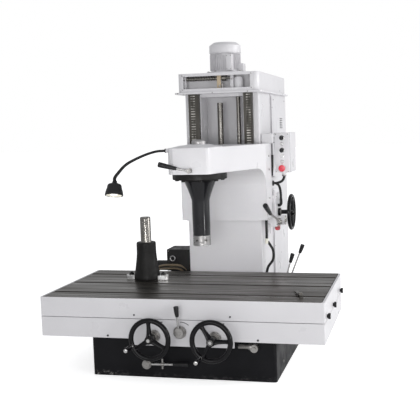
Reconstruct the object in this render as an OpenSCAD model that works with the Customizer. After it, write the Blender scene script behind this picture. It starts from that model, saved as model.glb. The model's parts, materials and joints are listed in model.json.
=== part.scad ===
// Vertical fine-boring and milling machine with a long-travel T-slot table.
// Millimetres, +Z up, real size. Working coordinates: x = 0 is the middle of the bed,
// y = 0 is the front edge of the table, z = 0 is the floor; at() moves them so that
// the origin is the middle of the bed's footprint.

/* [View] */
// one node, or every node

/* [Bed] */
bed_half_x = 495;      // half width of the bed
bed_y0 = 60;           // front face of the bed
bed_y1 = 1740;         // rear face of the bed
bed_h = 200;           // height of the bed without its ways
way_top = 236;         // running face of the bed ways
foot_hole_r = 11;      // foundation bolt hole
foot_x = 440;          // foundation holes, half spacing across
foot_dy = 1540;        // foundation holes, spacing front to back

/* [Table] */
table_half_x = 750;    // half length of the table
table_y = 760;         // depth of the table
table_top_z = 430;     // working face
table_low_z = 326;     // lower edge of the painted sides
slab = 50;             // thickness of the slotted slab
slab_half_x = 735;     // half length of the slotted slab
slot_y = [130, 380, 630];
slot_w = 22;           // throat of a T-slot
slot_t = 38;           // wide part of a T-slot
slot_d = 34;           // depth of a T-slot

/* [Saddle] */
saddle_z0 = 220;       // lower edge of its sides
saddle_z1 = 323;       // running face under the table
apron_z0 = 187;        // lower edge of the middle apron
feed_z = 238;          // height of both feed shafts
wheel_y = -75;         // plane of the front handwheels
table_wheel_x = -124;
cross_wheel_x = 196;
wheel_r = 98;          // centre circle of a front wheel's rim
rim_r = 13;            // radius of the rim's section

/* [Column] */
col_x0 = -176;
col_x1 = 276;
col_y = 850;           // front face of the casting
guide_y = 828;         // running face of the guideways
col_y1 = 1190;         // back of the casting
cab_y1 = 1710;         // back of the electrical cabinet
col_top = 1484;

/* [Headstock] */
mid_x = 50;            // middle plane of column, headstock and spindle
spin_y = 330;          // spindle axis
arm_z0 = 1047;
arm_z1 = 1184;
seat_z = 1200;         // top of the spindle's seat on the arm
plate_z0 = 737;
plate_y0 = 763;
plate_y1 = 827.95;     // running face on the guideways
sleeve_r = 48;
flange_r = 146;

/* [Drive] */
screw_x = 22;          // elevating screw
spline_x = 136;        // vertical splined shaft
shaft_y = 915;
motor_y = 970;

/* [Hidden] */
$fn = 64;

paint = [0.90, 0.90, 0.93];
black = [0.08, 0.08, 0.09];
steel = [0.62, 0.60, 0.58];
bright = [0.80, 0.80, 0.82];
iron = [0.36, 0.34, 0.32];
bronze = [0.72, 0.55, 0.30];

module at() translate([0, -(bed_y0 + bed_y1) / 2, 0]) children();
module box(x0, x1, y0, y1, z0, z1) translate([x0, y0, z0]) cube([x1 - x0, y1 - y0, z1 - z0]);
module up(x, y, z0, z1, r) translate([x, y, z0]) cylinder(h = z1 - z0, r = r);
module along_y(x, z, y0, y1, r) translate([x, y0, z]) rotate([-90, 0, 0]) cylinder(h = y1 - y0, r = r);
module along_x(y, z, x0, x1, r) translate([x0, y, z]) rotate([0, 90, 0]) cylinder(h = x1 - x0, r = r);
// a straight round bar between two points
module bar(a, b, r, r2 = -1) {
  d = b - a;
  l = norm(d);
  translate(a) rotate([0, acos(d[2] / l), atan2(d[1], d[0])])
    cylinder(h = l, r1 = r, r2 = r2 < 0 ? r : r2);
}
// rounded upright slab
module soft_box(x0, x1, y0, y1, z0, z1, r) translate([0, 0, z0]) linear_extrude(z1 - z0) {
  translate([x0 + r, y0]) square([x1 - x0 - 2 * r, y1 - y0]);
  translate([x0, y0 + r]) square([x1 - x0, y1 - y0 - 2 * r]);
  for (x = [x0 + r, x1 - r], y = [y0 + r, y1 - r]) translate([x, y]) circle(r);
}
// ring lying in a horizontal plane
module ring(r, tube) rotate_extrude() translate([r, 0]) circle(tube);
// handwheel with its axis on z, hub centred on z = 0
module wheel(r, tube, hub_r, hub_h, bore, turn, grip = -1) {
  difference() {
    union() {
      ring(r, tube);
      translate([0, 0, -hub_h / 2]) cylinder(h = hub_h, r = hub_r);
      for (a = [0, 120, 240]) rotate(turn + a) {
        translate([hub_r - 5, 0, 0]) rotate([0, 90, 0]) cylinder(h = r - hub_r + 5, r1 = 9, r2 = 7);
      }
    }
    translate([0, 0, -hub_h]) cylinder(h = 2 * hub_h, r = bore);
    // pin hole of the revolving handle
    if (grip > 0) rotate(grip) translate([r, 0, -20]) cylinder(h = 40, r = 5.05);
  }
}
// revolving handle with its axis on z, its pin in the rim of a wheel lying at z = 0
module handle(l, r) rotate_extrude()
  polygon([[0, -9], [5, -9], [5, 22], [r * 0.72, 22], [r, 10 + l * 0.42], [r * 0.86, 10 + l * 0.8], [r * 0.86, l + 8], [0, l + 8]]);

/* ---------------- bed and column, fixed ---------------- */

// forked post of a rear lever
module rear_post(x, y, z) difference() {
  box(x - 24, x + 24, y - 18, y + 18, bed_h, z + 18);
  box(x - 30, x + 30, y - 8, y + 8, z - 34, z + 30);
  along_y(x, z, y - 20, y + 20, 9.05);
}

module lever_posts() color(black) at() {
  rear_post(323, 1300, 258);
  rear_post(340, 1370, 254);
  // gland of the hanging hose
  difference() {
    up(320, 900, bed_h, 208, 20);
    up(319.5, 900, bed_h - 0.5, 210, 9.8);
  }
}

module base_bed() color(black) at() difference() {
  soft_box(-bed_half_x, bed_half_x, bed_y0, bed_y1, 0, bed_h, 14);
  // hollow underside either side of a middle rib
  for (y = [[190, 850], [950, 1610]]) box(-455, 455, y[0], y[1], -1, 160);
  // foundation bolt holes
  for (x = [-foot_x, foot_x], s = [-1, 1])
    up(x, (bed_y0 + bed_y1) / 2 + s * foot_dy / 2, -1, bed_h + 1, foot_hole_r);
  // bore of the clamp lever
  along_y(-180, 80, bed_y0 - 1, 92, 9.05);
}

module bed_ways() color(iron) at() for (s = [-1, 1])
  difference() {
    box(s > 0 ? 230 : -345, s > 0 ? 345 : -230, 75, 802, bed_h, way_top);
    // oil groove
    box(s * 287 - 3, s * 287 + 3, 90, 790, way_top - 2, way_top + 1);
  }

module cross_feed_nut() color(bronze) at() difference() {
  box(168, 224, 430, 480, bed_h, 262);
  along_y(cross_wheel_x, feed_z, 420, 490, 14.05);
}

module column_casting() color(paint) at() {
  difference() {
    union() {
      soft_box(col_x0, col_x1, col_y, col_y1, bed_h, col_top, 10);
      // deck under the cap, with a lip all round
      soft_box(-212, 312, 754, 1664, col_top, 1494, 16);
    }
    // front channel for screw, splined shaft and headstock tongue
    box(-78, 178, col_y - 1, 985, 420, 1466);
    // bores for screw end and splined shaft
    up(spline_x, shaft_y, 1460, 1500, 14);
    up(screw_x, shaft_y, 300, 430, 13);
    up(spline_x, shaft_y, 300, 430, 12.55);
    // inner hollow open to the cabinet side
    box(-150, 250, 1010, col_y1 + 1, 260, 1440);
  }
}

module guideway(x0, x1) at() difference() {
  box(x0, x1, guide_y, col_y, 240, col_top);
  box((x0 + x1) / 2 - 3, (x0 + x1) / 2 + 3, guide_y - 1, guide_y + 2, 260, 1460);
}
module guideways() color(iron) { guideway(-150, -84); guideway(186, 240); }

module top_cap() color(paint) at() {
  difference() {
    soft_box(-195, 295, 766, 1650, 1494, 1603, 34);
    soft_box(-187, 287, 774, 1642, 1493, 1595, 26);
    // front window
    box(-159, 244, 755, 780, 1514, 1586);
    // way through for the motor shaft
    up(mid_x, motor_y, 1590, 1610, 40);
  }
  // wall between the window and the motor's gears
  box(-189, 289, 840, 846, 1496, 1597);
}

module cap_layshaft() color(iron) at() {
  along_x(812, 1573, -171, 137, 7);
  for (i = [0 : 11]) along_x(812, 1573, -146 + i * 16, -137 + i * 16, 13);
  along_x(812, 1573, 66, 92, 17);
}

module cap_oil_pump() color(paint) at() {
  difference() {
    union() {
      box(-172, -150, 796, 828, 1494, 1588);
      box(118, 138, 796, 828, 1494, 1588);
    }
    along_x(812, 1573, -180, 150, 7.05);
  }
  up(166, 812, 1494, 1582, 26);
}

module motor_body() color(paint) at() {
  difference() {
    union() {
      up(mid_x, motor_y, 1603, 1616, 118);
      up(mid_x, motor_y, 1616, 1734, 84);
      up(mid_x, motor_y, 1724, 1734, 91.9);
      for (i = [0 : 23]) translate([mid_x, motor_y, 1620]) rotate(i * 15) translate([80, -2, 0]) cube([13, 4, 106]);
      // terminal box on the front right and bracket on the right
      box(78, 118, 862, 900, 1618, 1716);
      box(130, 168, 940, 1000, 1616, 1664);
    }
    up(mid_x, motor_y, 1602, 1722, 62);
    up(mid_x, motor_y, 1600, 1740, 16.05);
  }
}

module motor_fan_cover() color(paint) at() translate([mid_x, motor_y, 0]) difference() {
  rotate_extrude() polygon([[0, 1728], [95, 1728], [95, 1773], [70, 1791], [0, 1791]]);
  rotate_extrude() polygon([[0, 1727], [92, 1727], [92, 1772], [69, 1788], [0, 1788]]);
  for (r = [18, 34, 50]) for (i = [0 : 7]) rotate(i * 45 + r) translate([r, -2.5, 1785]) cube([11, 5, 10]);
}

module motor_rotor() color(steel) at() {
  up(mid_x, motor_y, 1620, 1716, 61);
  up(mid_x, motor_y, 1510, 1780, 16);
  up(mid_x, motor_y, 1520, 1560, 58);
  // fan
  up(mid_x, motor_y, 1744, 1764, 30);
  for (i = [0 : 7]) translate([mid_x, motor_y, 1744]) rotate(i * 45) translate([25, -1.5, 0]) cube([58, 3, 20]);
}

module elevating_screw() color(bright) at() {
  up(screw_x, shaft_y, 421, 1432, 17);
  up(screw_x, shaft_y, 310, 421, 12.95);
}

module spline_shaft() color(bright) at() {
  up(spline_x, shaft_y, 310, 1556, 12.5);
  up(spline_x, shaft_y, 1520, 1552, 43.7);
}

module electrical_cabinet() color(paint) at() difference() {
  soft_box(col_x0, 284, col_y1, cab_y1, bed_h, col_top, 8);
  box(-168, 276, col_y1 + 8, cab_y1 + 1, 215, 1470);
  // side louvre
  for (i = [0 : 5]) box(270, 290, 1470, 1580, 1268 + i * 12, 1273 + i * 12);
}

module cabinet_door() color(paint) at() {
  difference() {
    soft_box(-170, 278, cab_y1 + 0.3, cab_y1 + 14, 222, 1464, 4);
    box(-160, 268, cab_y1 - 1, cab_y1 + 10, 232, 1454);
  }
  up(-176, cab_y1 + 8, 320, 400, 7);
  up(-176, cab_y1 + 8, 1290, 1370, 7);
  box(-177, -168, cab_y1 + 4, cab_y1 + 12, 320, 400);
  box(-177, -168, cab_y1 + 4, cab_y1 + 12, 1290, 1370);
  along_y(248, 860, cab_y1 + 14, cab_y1 + 34, 9);
  box(243, 253, cab_y1 + 28, cab_y1 + 36, 800, 870);
}

module contactor_panel() color([0.55, 0.57, 0.60]) at() {
  box(-150, 258, 1226, 1230, 300, 1400);
  for (z = [420, 700, 980, 1260], x = [-120, -40, 40, 120, 200])
    box(x, x + 50, 1230, 1300, z - 50, z + 40);
  for (x = [-130, 230]) box(x, x + 12, col_y1 + 8, 1226, 300, 1400);
}

module rear_feed_motor() color(black) at() {
  box(-340, -210, 945, 1060, bed_h, 402);
  box(-354, -182, 922, 1080, 400, 534);
  box(-182, col_x0, 960, 1040, 420, 520);
  along_x(1000, 420, -440, -354, 32);
  along_x(1000, 420, -452, -440, 26);
  // lifting eye on the front face
  along_y(-312, 480, 912, 922, 9);
  translate([-312, 908, 480]) rotate([90, 0, 0]) ring(15, 4);
}

module clamp_lever() color(steel) at() {
  along_y(-180, 80, 14, bed_y0 - 0.3, 25);
  along_y(-180, 80, 50, 90, 9);
  along_y(-180, 80, 8, 14, 18);
  bar([-180, 26, 80], [-34, 26, 84], 7);
  bar([-38, 26, 84], [42, 26, 86], 10.5, 9);
  bar([-96, 26, 58], [-96, 26, 112], 5.5);
}

module coolant_union() color(steel) at() {
  along_x(40, 186, 306, 366, 12);
  box(314, 340, 34, bed_y0, 176, 197);
  along_y(388, 180, 26, bed_y0, 20);
  along_y(388, 180, 20, 26, 10);
  along_x(40, 186, 360, 375, 16);
}

module rear_lever_short() color(steel) at() {
  along_y(323, 258, 1283, 1317, 9);
  along_y(323, 258, 1292.5, 1307.5, 17);
  bar([323, 1300, 258], [367, 1300, 404], 5.5);
  bar([363, 1300, 392], [381, 1300, 450], 14, 11);
}
module rear_lever_long() color(steel) at() {
  along_y(340, 254, 1353, 1387, 9);
  along_y(340, 254, 1362.5, 1377.5, 17);
  bar([340, 1370, 254], [420, 1370, 455], 5.5);
  bar([416, 1370, 445], [438, 1370, 500], 14, 11);
}

/* ---------------- saddle ---------------- */

module saddle_casting() color(paint) at() {
  difference() {
    union() {
      // sides and running plate
      soft_box(-table_half_x, table_half_x, 0, table_y, saddle_z0, saddle_z1, 5);
    }
    difference() {
      box(-table_half_x + 14, table_half_x - 14, 14, table_y - 14, saddle_z0 - 1, 288);
      // pads on the bed ways
      for (s = [-1, 1]) box(s > 0 ? 234 : -341, s > 0 ? 341 : -234, 13, table_y - 13, way_top + 0.05, 289);
      // rib that carries the pinion shaft's end
      box(-220, 150, 400, 412, 206, 289);
      // bosses behind the front wall
      along_y(table_wheel_x, feed_z + 6, 13, 50, 26);
      along_y(cross_wheel_x, feed_z + 6, 13, 50, 26);
    }
    // clearance for the bed ways in the back wall
    for (s = [-1, 1]) box(s > 0 ? 222 : -353, s > 0 ? 353 : -222, table_y - 20, table_y + 1, saddle_z0 - 1, 242);
    // slot for the rack
    box(-692, 452, 345, 385, 268, saddle_z1 + 1);
    // shaft bores
    along_y(table_wheel_x, feed_z, -10, 60, 12.05);
    along_y(table_wheel_x, feed_z, 395, 420, 12.05);
    along_y(cross_wheel_x, feed_z, -10, 60, 14.05);
    along_y(14, 262, -1, 16, 9.05);
    // oil grooves in the running plate
    for (y = [90, 670]) box(-700, 700, y - 2, y + 2, saddle_z1 - 2, saddle_z1 + 1);
  }
  // apron below the middle of the front wall
  difference() {
    box(-262, 294, 0, 9, apron_z0, saddle_z0 + 2);
    along_y(table_wheel_x, feed_z, -10, 60, 24);
    along_y(cross_wheel_x, feed_z, -10, 60, 24);
  }
}

module feed_dials() color(steel) at() difference() {
  union() {
    along_y(table_wheel_x, feed_z, -26, 0, 31);
    along_y(table_wheel_x, feed_z, -46, -26, 25);
    along_y(cross_wheel_x, feed_z, -26, 0, 31);
    along_y(cross_wheel_x, feed_z, -46, -26, 25);
  }
  along_y(table_wheel_x, feed_z, -50, 5, 12.05);
  along_y(cross_wheel_x, feed_z, -50, 5, 14.05);
}

module front_lever() color(steel) at() {
  along_y(14, 262, -12, -0.3, 33);
  along_y(14, 262, -12, 13, 9);
  along_y(14, 262, -30, -12, 26);
  bar([14, -22, 262], [10, -30, 355], 5);
  bar([10.2, -29.5, 349], [7, -34, 401], 9, 13);
}

module table_handwheel() color(black) at() translate([table_wheel_x, wheel_y, feed_z])
  rotate([90, 0, 0]) wheel(wheel_r, rim_r, 22, 42, 12.05, 92, 200);
module cross_handwheel() color(black) at() translate([cross_wheel_x, wheel_y, feed_z])
  rotate([90, 0, 0]) wheel(wheel_r, rim_r, 22, 42, 14.05, 122, 236);
function on_wheel(cx, a) = [cx + wheel_r * cos(a), wheel_y, feed_z + wheel_r * sin(a)];
module table_wheel_handle() color(black) at() translate(on_wheel(table_wheel_x, 200))
  rotate([90, 0, 0]) handle(92, 14);
module cross_wheel_handle() color(black) at() translate(on_wheel(cross_wheel_x, 236))
  rotate([90, 0, 0]) handle(92, 14);

module table_pinion_shaft() color(bright) at() {
  along_y(table_wheel_x, feed_z, wheel_y - 24, 416, 12);
  difference() {
    along_y(table_wheel_x, feed_z, 352, 378, 33);
    for (i = [0 : 19]) translate([table_wheel_x, 350, feed_z]) rotate([0, i * 18, 0]) translate([30, 0, -2.2]) cube([6, 30, 4.4]);
  }
}

module cross_feed_screw() color(bright) at() {
  along_y(cross_wheel_x, feed_z, wheel_y - 24, 720, 14);
  along_y(cross_wheel_x, feed_z, 50.4, 58, 22);
}

/* ---------------- table ---------------- */

module table_top() color(steel) at() difference() {
  union() {
    box(-slab_half_x, slab_half_x, 5, table_y - 5, table_top_z - slab, table_top_z);
    // running ways and ribs below the slab
    for (y = [[60, 160], [600, 700]]) box(-735, 735, y[0], y[1], saddle_z1 + 0.05, table_top_z - slab + 1);
    for (x = [-600, -300, 0, 300, 600]) box(x - 6, x + 6, 100, 660, 340, table_top_z - slab + 1);
  }
  for (y = slot_y) {
    box(-table_half_x, table_half_x, y - slot_w / 2, y + slot_w / 2, table_top_z - slot_d, table_top_z + 1);
    box(-table_half_x, table_half_x, y - slot_t / 2, y + slot_t / 2, table_top_z - slot_d, table_top_z - slot_d + 16);
  }
  // shallow coolant grooves between the slots
  for (y = [42, 84, 213, 297, 463, 547, 676, 718])
    box(-table_half_x, table_half_x, y - 2.5, y + 2.5, table_top_z - 2.5, table_top_z + 1);
  // ribs clear the rack
  box(-450, 260, 345, 385, 330, table_top_z - slab);
}

module table_skirt() color(paint) at() difference() {
  soft_box(-table_half_x, table_half_x, 0, table_y, table_low_z, table_top_z - 1.5, 5);
  box(-slab_half_x, slab_half_x, 5, table_y - 5, table_top_z - slab, table_top_z);
  box(-table_half_x + 12, table_half_x - 12, 12, table_y - 12, table_low_z - 1, table_top_z);
  // seats of the end cover screws
  for (s = [-1, 1], p = [[84, 344], [348, 341], [690, 344]]) translate([0, p[0], p[1]])
    rotate([0, 90, 0]) translate([0, 0, s > 0 ? 730 : -760]) cylinder(h = 30, r = 5.1);
}

module end_cover_knobs() color(black) at() for (s = [-1, 1], p = [[84, 344], [348, 341], [690, 344]])
  translate([s * table_half_x, p[0], p[1]]) rotate([0, s * 90, 0]) {
    translate([0, 0, -14]) cylinder(h = 20, r = 5);
    translate([0, 0, 0]) cylinder(h = 8, r = 9);
    translate([0, 0, 6]) linear_extrude(12) union() {
      circle(11);
      for (i = [0 : 5]) rotate(i * 60) translate([11, 0]) circle(5);
    }
  }

module table_rack() color(steel) at() difference() {
  box(-430, 240, 353, 377, 271.6, table_top_z - slab);
  for (i = [0 : 60]) box(-425 + i * 10.8, -420 + i * 10.8, 350, 380, 270, 277);
}

module loose_key() color(bright) at() translate([578, 210, table_top_z]) rotate(-68) {
  translate([0, -9, 0]) cube([120, 18, 12]);
  translate([86, -9, 0]) cube([18, 18, 22]);
}

arbor_x = -338;
arbor_y = 515;

// two round lugs against the body, each with a clamping bolt
module arbor_flange() color(bright) at() translate([arbor_x, arbor_y, table_top_z]) for (s = [-1, 1]) {
  difference() {
    linear_extrude(22) union() {
      translate([s * 96, 0]) circle(30);
      translate([s * 75, 0]) square([44, 52], center = true);
    }
    translate([0, 0, -1]) cylinder(h = 30, r = 74.05);
    translate([s * 96, 0, -1]) cylinder(h = 30, r = 8);
  }
  translate([s * 96, 0, 1]) cylinder(h = 24, r = 8);
  translate([s * 96, 0, 22]) cylinder(h = 11, r = 15, $fn = 6);
}

module arbor_body() color(black) at() translate([arbor_x, arbor_y, table_top_z]) difference() {
  rotate_extrude() polygon([[0, 0], [74, 0], [74, 16], [70, 40], [59, 118], [56, 150], [55.5, 206], [53, 214], [0, 214]]);
  translate([0, 0, -1]) cylinder(h = 230, r = 31);
}

module arbor_bar() color(bright) at() translate([arbor_x, arbor_y, table_top_z]) difference() {
  union() {
    translate([0, 0, 2]) cylinder(h = 216, r = 30.95);
    translate([0, 0, 217]) cylinder(h = 135, r = 30);
    translate([0, 0, 352]) cylinder(h = 6, r1 = 30, r2 = 27);
  }
  // key slot near the top
  translate([0, 0, 330]) rotate([0, 0, -62]) translate([22, -6, -12]) cube([12, 12, 12]);
}

/* ---------------- headstock ---------------- */

arm = [[-50, 182], [128, 180], [140, 186], [146, 196], [325, 763], [325, plate_y1], [-193, plate_y1],
  [-193, 763], [-104, 318], [-97, 270], [-94, 240], [-86, 214], [-70, 193]];

module headstock_casting() color(paint) at() {
  difference() {
    union() {
      // arm
      translate([0, 0, arm_z0]) linear_extrude(arm_z1 - arm_z0) polygon(arm);
      // plate on the guideways
      box(-193, 325, plate_y0, plate_y1, plate_z0, arm_z1);
      // arch between the arm and the plate
      intersection() {
        translate([0, 0, 900]) linear_extrude(200) polygon(arm);
        difference() {
          box(-200, 330, 663, 770, 947, 1050);
          along_x(663, 947, -210, 340, 100);
        }
      }
      // raised seat of the spindle cap
      translate([mid_x, spin_y, 0]) rotate_extrude()
        polygon([[0, arm_z1 - 4], [126, arm_z1 - 4], [126, arm_z1 + 1.5], [60, seat_z], [0, seat_z]]);
      // cheeks beside the column
      box(-193, -178, plate_y1 - 1, 905, plate_z0, arm_z1);
      box(279, 325, plate_y1 - 1, 930, plate_z0, arm_z1);
      // tongue inside the channel
      box(-60, 164, plate_y1 - 1, 955, 830, 1080);
      // bracket of the control box
      box(281, 342, 872, 905, 1183, 1240);
      box(322, 342, 900, 964, 1186, 1240);
      // boss of the lamp's neck
      along_x(231, 1172, -100, -60, 11);
    }
    // clearance of the control box hinges
    box(330.5, 343, 938.5, 953.5, 1180, 1245);
    // room for the spindle gear, closed by the sleeve flange
    up(mid_x, spin_y, arm_z0 - 1, 1150, 96);
    up(mid_x, spin_y, 1140, seat_z + 1, 30.05);
    up(screw_x, shaft_y, 820, 1090, 32);
    up(spline_x, shaft_y, 820, 1090, 15);
    along_y(42, 1068, 150, 215, 8.05);
  }
}

module way_cover() color(paint) at() {
  box(-171, 279, 818, 824, 400, plate_z0);
  box(-171, 279, plate_y0 + 20, 824, plate_z0 - 5, plate_z0);
}

module spindle_top_cap() color(bright) at() difference() {
  translate([mid_x, spin_y, 0]) rotate_extrude()
    polygon([[0, seat_z], [38, seat_z], [38, 1215], [33, 1222], [20, 1225], [0, 1225]]);
  up(mid_x, spin_y, seat_z - 1, 1207, 31);
  for (i = [0 : 3]) translate([mid_x, spin_y, 1215]) rotate(i * 90 + 30) translate([27, 0, 0]) cylinder(h = 14, r = 3);
}

module spindle_sleeve() color(black) at() translate([mid_x, spin_y, 0]) {
  difference() {
    union() {
      translate([0, 0, arm_z0 - 32]) cylinder(h = 32, r = flange_r);
      rotate_extrude() polygon([[0, 712], [47, 712], [sleeve_r, 900], [52, 915], [66, 955], [82, 995], [90, 1010], [96, 1016], [0, 1016]]);
    }
    translate([0, 0, 700]) cylinder(h = 400, r = 41);
  }
  for (i = [0 : 7]) rotate(i * 45 + 16) translate([122, 0, arm_z0 - 42]) cylinder(h = 12, r = 11, $fn = 6);
}

module spindle() color(bright) at() translate([mid_x, spin_y, 0]) {
  difference() {
    union() {
      translate([0, 0, 657]) cylinder(h = 54.7, r = 47.5);
      translate([0, 0, 700]) cylinder(h = 490, r = 30);
      translate([0, 0, 1070]) cylinder(h = 40, r = 84);
    }
    translate([0, 0, 650]) cylinder(h = 91, r = 18);
    for (i = [0 : 5]) rotate(i * 60 + 12) translate([30, 0, 687]) rotate([0, 90, 0]) cylinder(h = 30, r = 7);
  }
}

module spindle_bearings() color(steel) at() translate([mid_x, spin_y, 0])
  for (z = [[720, 760], [990, 1036]]) difference() {
    translate([0, 0, z[0]]) cylinder(h = z[1] - z[0], r = 40.95);
    translate([0, 0, z[0] - 1]) cylinder(h = z[1] - z[0] + 2, r = 30.05);
  }

module elevating_nut() color(bronze) at() difference() {
  up(screw_x, shaft_y, 850, 950, 31.95);
  up(screw_x, shaft_y, 840, 960, 17.05);
}

module nose_lever() color(steel) at() {
  along_y(42, 1068, 158, 205, 8);
  along_y(42, 1068, 152, 178, 13);
  bar([42, 164, 1068], [-34, 160, 1082], 6);
  bar([-26, 160.5, 1080], [-120, 156, 1104], 9, 14);
}

module feed_gearbox() color(paint) at() {
  difference() {
    union() {
      box(279, 312, 930, 1150, 690, 972);
      box(312, 346, 940, 1120, 676, 872);
    }
    along_x(1010, 759, 300, 350, 13.05);
    along_x(990, 700, 300, 350, 10.05);
  }
  // gland flange and pump details
  along_x(985, 938, 312, 320, 17);
  box(312, 330, 950, 1010, 880, 900);
  along_x(1085, 700, 346, 376, 30);
  up(336, 955, 872, 905, 14);
}

module side_handwheel() color(black) at() {
  translate([428, 1010, 759]) rotate([0, 90, 0]) wheel(100, 11, 20, 44, 13, 25);
  along_x(1010, 759, 304, 452, 13);
  along_x(1010, 759, 347, 362, 24);
}

module side_lever() color(steel) at() {
  along_x(990, 700, 304, 372, 10);
  along_x(990, 700, 347, 364, 22);
  bar([358, 990, 700], [352, 720, 780], 6);
  bar([352, 724, 779], [346, 610, 840], 11, 15);
}

module oil_sight() color([0.85, 0.55, 0.55]) at() {
  up(330, 1060, 648, 676, 17);
  up(330, 1060, 640, 648, 12);
}

module control_box() color(paint) at() {
  difference() {
    soft_box(342, 434, 950, 1185, 1002, 1242, 4);
    soft_box(345, 431, 954, 1190, 1005, 1239, 2);
    for (z = [1212, 1138, 1104, 1030]) along_y(388, z, 940, 960, 9.05);
  }
  difference() {
    soft_box(344, 432, 1181, 1185, 1004, 1240, 1);
    along_y(388, 1120, 1170, 1190, 4);
  }
  // hinges
  for (z = [[1190, 1208], [1216, 1234]]) up(338, 946, z[0], z[1], 6.5);
  up(388, 1010, 986, 1005, 11);
  // clear indicator lamps
  for (z = [1176, 1070]) along_y(388, z, 944, 954, 8);
}

module knob(z) {
  along_y(388, z, 948, 975, 9);
  along_y(388, z, 937, 948, 13);
  box(384.5, 391.5, 928, 938, z - 13, z + 13);
}
module rotary_knob_upper() color(black) at() knob(1212);
module rotary_knob_lower() color(black) at() knob(1138);
module start_button() color(bright) at() {
  along_y(388, 1104, 946, 975, 9);
}
module emergency_stop() color([0.82, 0.08, 0.12]) at() {
  along_y(388, 1030, 940, 975, 9);
  translate([388, 940, 1030]) rotate([90, 0, 0]) rotate_extrude() polygon([[0, 0], [16, 0], [20, 5], [20, 11], [14, 16], [0, 18]]);
}

// hose as straight runs with slightly fuller round joints
module hose(p, r) {
  for (i = [0 : len(p) - 2]) bar(p[i], p[i + 1], r);
  for (i = [1 : len(p) - 2]) translate(p[i]) sphere(r + 1.5);
}

module conduits() color(black) at() {
  hose([[388, 1010, 985.9], [388, 1010, 972], [378, 1003, 950], [352, 985, 938], [320.1, 985, 938]], 8);
  hose([[340, 985, 938], [358, 994, 916], [366, 1000, 880], [366, 1000, 820], [358, 1000, 802], [346.1, 1000, 802]], 8);
}

module lamp_neck() color(black) at()
  hose([[-100.7, 231, 1172], [-160, 231, 1168], [-235, 231, 1146], [-325, 231, 1104], [-380, 231, 1052],
        [-396, 231, 1030], [-396, 231, 1016.1]], 7.5);

module lamp_head() color(black) at() translate([-396, 231, 0]) difference() {
  rotate_extrude() polygon([[0, 1016], [12, 1016], [14, 1006], [33, 998], [38, 988], [40, 978], [46, 960], [49, 942], [49, 936], [0, 936]]);
  translate([0, 0, 930]) cylinder(h = 14, r = 38);
}

module hanging_hose() color(black) at()
  hose([[296, 880, 737], [296, 880, 606], [336, 882, 536], [328, 884, 482], [294, 888, 430], [320, 900, 202]], 8);

base_bed();
lever_posts();
bed_ways();
cross_feed_nut();
column_casting();
guideways();
top_cap();
cap_layshaft();
cap_oil_pump();
motor_body();
motor_fan_cover();
motor_rotor();
elevating_screw();
spline_shaft();
electrical_cabinet();
cabinet_door();
contactor_panel();
rear_feed_motor();
clamp_lever();
coolant_union();
rear_lever_short();
rear_lever_long();
saddle_casting();
feed_dials();
front_lever();
table_handwheel();
table_wheel_handle();
table_pinion_shaft();
cross_handwheel();
cross_wheel_handle();
cross_feed_screw();
table_top();
table_skirt();
end_cover_knobs();
table_rack();
loose_key();
arbor_flange();
arbor_body();
arbor_bar();
headstock_casting();
way_cover();
spindle_top_cap();
spindle_sleeve();
spindle();
spindle_bearings();
elevating_nut();
nose_lever();
feed_gearbox();
side_handwheel();
side_lever();
oil_sight();
control_box();
rotary_knob_upper();
rotary_knob_lower();
start_button();
emergency_stop();
conduits();
lamp_neck();
lamp_head();
hanging_hose();
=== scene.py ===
"""Looks, light and camera for the vertical milling machine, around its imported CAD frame.

Sizes are millimetres in the machine's own layout, where y = 0 is the front edge of the
table and z = 0 the floor. at() turns them into metres in the shared frame.
"""

import json
import math

import bmesh
import bpy
from mathutils import Matrix, Vector

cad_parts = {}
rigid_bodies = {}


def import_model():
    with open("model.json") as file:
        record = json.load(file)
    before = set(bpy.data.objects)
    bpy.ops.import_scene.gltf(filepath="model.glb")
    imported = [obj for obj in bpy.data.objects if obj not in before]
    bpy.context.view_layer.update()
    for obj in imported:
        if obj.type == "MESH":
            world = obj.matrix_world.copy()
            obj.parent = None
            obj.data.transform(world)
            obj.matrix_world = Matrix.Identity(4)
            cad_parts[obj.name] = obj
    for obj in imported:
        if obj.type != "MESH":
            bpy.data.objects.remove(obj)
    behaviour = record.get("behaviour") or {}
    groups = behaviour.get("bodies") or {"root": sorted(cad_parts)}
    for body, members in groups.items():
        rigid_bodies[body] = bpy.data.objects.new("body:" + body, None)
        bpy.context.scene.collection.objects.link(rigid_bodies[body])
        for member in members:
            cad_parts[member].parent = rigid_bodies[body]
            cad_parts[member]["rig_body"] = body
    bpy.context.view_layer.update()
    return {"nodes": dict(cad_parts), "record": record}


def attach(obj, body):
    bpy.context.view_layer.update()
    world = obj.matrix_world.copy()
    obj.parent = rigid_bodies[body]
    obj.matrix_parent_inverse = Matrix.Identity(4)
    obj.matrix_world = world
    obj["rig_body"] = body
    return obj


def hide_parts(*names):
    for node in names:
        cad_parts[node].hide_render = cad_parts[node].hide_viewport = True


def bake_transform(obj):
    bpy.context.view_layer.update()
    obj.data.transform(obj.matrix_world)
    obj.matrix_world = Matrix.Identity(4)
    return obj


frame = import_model()
NODES = frame["nodes"]
SCENE = bpy.context.scene
MM = 0.001
BED_MID_Y = 900.0
X, Y, Z = Vector((1, 0, 0)), Vector((0, 1, 0)), Vector((0, 0, 1))
FRONT = -Y

# places that several pieces share
SPINDLE_X, SPINDLE_Y = 50, 330
MOTOR_X, MOTOR_Y = 50, 970
ARBOR_X, ARBOR_Y = -338, 515
LAMP_X, LAMP_Y = -396, 231
TABLE_TOP_Z, DECK_Z = 430, 200
WHEEL_Z, TABLE_WHEEL_X, CROSS_WHEEL_X = 238, -124, 196
WHEEL_RADIUS, WHEEL_RIM = 98, 13
LIFT_Y, LIFT_Z = 1010, 759
BOX_X, BOX_FRONT_Y = 388, 950


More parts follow.
